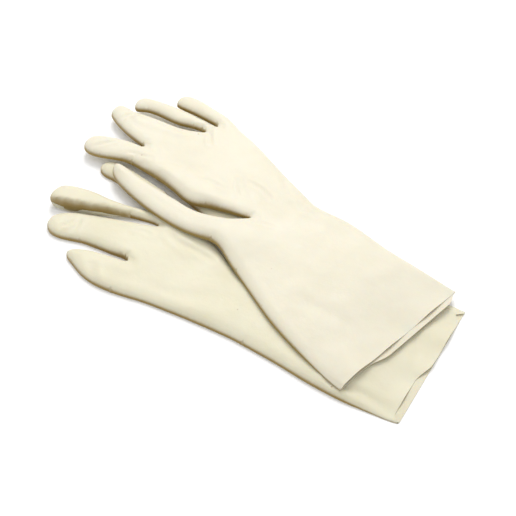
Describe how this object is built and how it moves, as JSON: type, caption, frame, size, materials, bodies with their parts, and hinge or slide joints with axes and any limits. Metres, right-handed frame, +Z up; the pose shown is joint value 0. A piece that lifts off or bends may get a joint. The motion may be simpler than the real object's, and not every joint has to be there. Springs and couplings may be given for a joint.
{
  "type": "pair of long electrical insulating gloves",
  "caption": "Pair of long cream natural-latex insulating gloves lying flat, palms up, the left glove over the right; straight-cut open cuffs; fingers, thumb and gauntlet fold.",
  "frame": {"origin": "middle of the pair's footprint, on the table", "axes": "+Z up from the table; +X from the fingertips towards the cuffs, along the right (lower) glove; +Y across, from the right glove's little finger towards the left glove's"},
  "size_m": [0.3798, 0.2267, 0.0164],
  "materials": {
    "right_latex": "matt, lightly powdered natural latex",
    "left_latex": "matt, lightly powdered natural latex"
  },
  "bodies": {
    "right_glove": {"right_gauntlet": "right_latex", "right_hand": "right_latex", "right_thumb": "right_latex", "right_index_finger": "right_latex"},
    "right_middle_finger": {"right_middle_finger": "right_latex"},
    "right_ring_finger": {"right_ring_finger": "right_latex"},
    "right_little_finger": {"right_little_finger": "right_latex"},
    "left_hand": {"left_hand": "left_latex"},
    "left_gauntlet": {"left_gauntlet": "left_latex"},
    "left_thumb": {"left_thumb": "left_latex"},
    "left_index_finger": {"left_index_finger": "left_latex"},
    "left_middle_finger": {"left_middle_finger": "left_latex"},
    "left_ring_finger": {"left_ring_finger": "left_latex"},
    "left_little_finger": {"left_little_finger": "left_latex"}
  },
  "joints": [
    {"name": "left_lift_off", "type": "slide", "parent": "right_glove", "child": "left_hand", "axis": [0, 0, 1], "range_m": [0, 0.15]},
    {"name": "left_wrist_fold", "type": "hinge", "parent": "left_hand", "child": "left_gauntlet", "pos_m": [0.02366, 0.00095, 0.0164], "axis": [-0.2656, -0.9641, 0], "range_deg": [0, 80], "stiffness_Nm_per_rad": 0.002},
    {"name": "left_thumb_curl", "type": "hinge", "parent": "left_hand", "child": "left_thumb", "pos_m": [-0.02363, -0.01631, 0.0164], "axis": [0.0562, 0.9984, 0], "range_deg": [0, 80], "stiffness_Nm_per_rad": 0.002},
    {"name": "left_index_finger_curl", "type": "hinge", "parent": "left_hand", "child": "left_index_finger", "pos_m": [-0.1351, 0.02145, 0.0164], "axis": [-0.091, 0.9958, 0], "range_deg": [0, 80], "stiffness_Nm_per_rad": 0.002},
    {"name": "left_middle_finger_curl", "type": "hinge", "parent": "left_hand", "child": "left_middle_finger", "pos_m": [-0.13458, 0.05439, 0.0164], "axis": [0.09, 0.9959, 0], "range_deg": [0, 80], "stiffness_Nm_per_rad": 0.002},
    {"name": "left_ring_finger_curl", "type": "hinge", "parent": "left_hand", "child": "left_ring_finger", "pos_m": [-0.10272, 0.08685, 0.0164], "axis": [-0.0529, 0.9986, 0], "range_deg": [0, 80], "stiffness_Nm_per_rad": 0.002},
    {"name": "left_little_finger_curl", "type": "hinge", "parent": "left_hand", "child": "left_little_finger", "pos_m": [-0.08824, 0.0993, 0.0164], "axis": [0.1818, 0.9833, 0], "range_deg": [0, 80], "stiffness_Nm_per_rad": 0.002},
    {"name": "right_middle_finger_curl", "type": "hinge", "parent": "right_glove", "child": "right_middle_finger", "pos_m": [-0.1045, -0.03055, 0.008], "axis": [-0.0839, 0.9965, 0], "range_deg": [0, 80], "stiffness_Nm_per_rad": 0.002},
    {"name": "right_ring_finger_curl", "type": "hinge", "parent": "right_glove", "child": "right_ring_finger", "pos_m": [-0.0846, -0.05725, 0.008], "axis": [-0.249, 0.9685, 0], "range_deg": [0, 80], "stiffness_Nm_per_rad": 0.002},
    {"name": "right_little_finger_curl", "type": "hinge", "parent": "right_glove", "child": "right_little_finger", "pos_m": [-0.0751, -0.0972, 0.008], "axis": [-0.1961, 0.9806, 0], "range_deg": [0, 80], "stiffness_Nm_per_rad": 0.002}
  ]
}
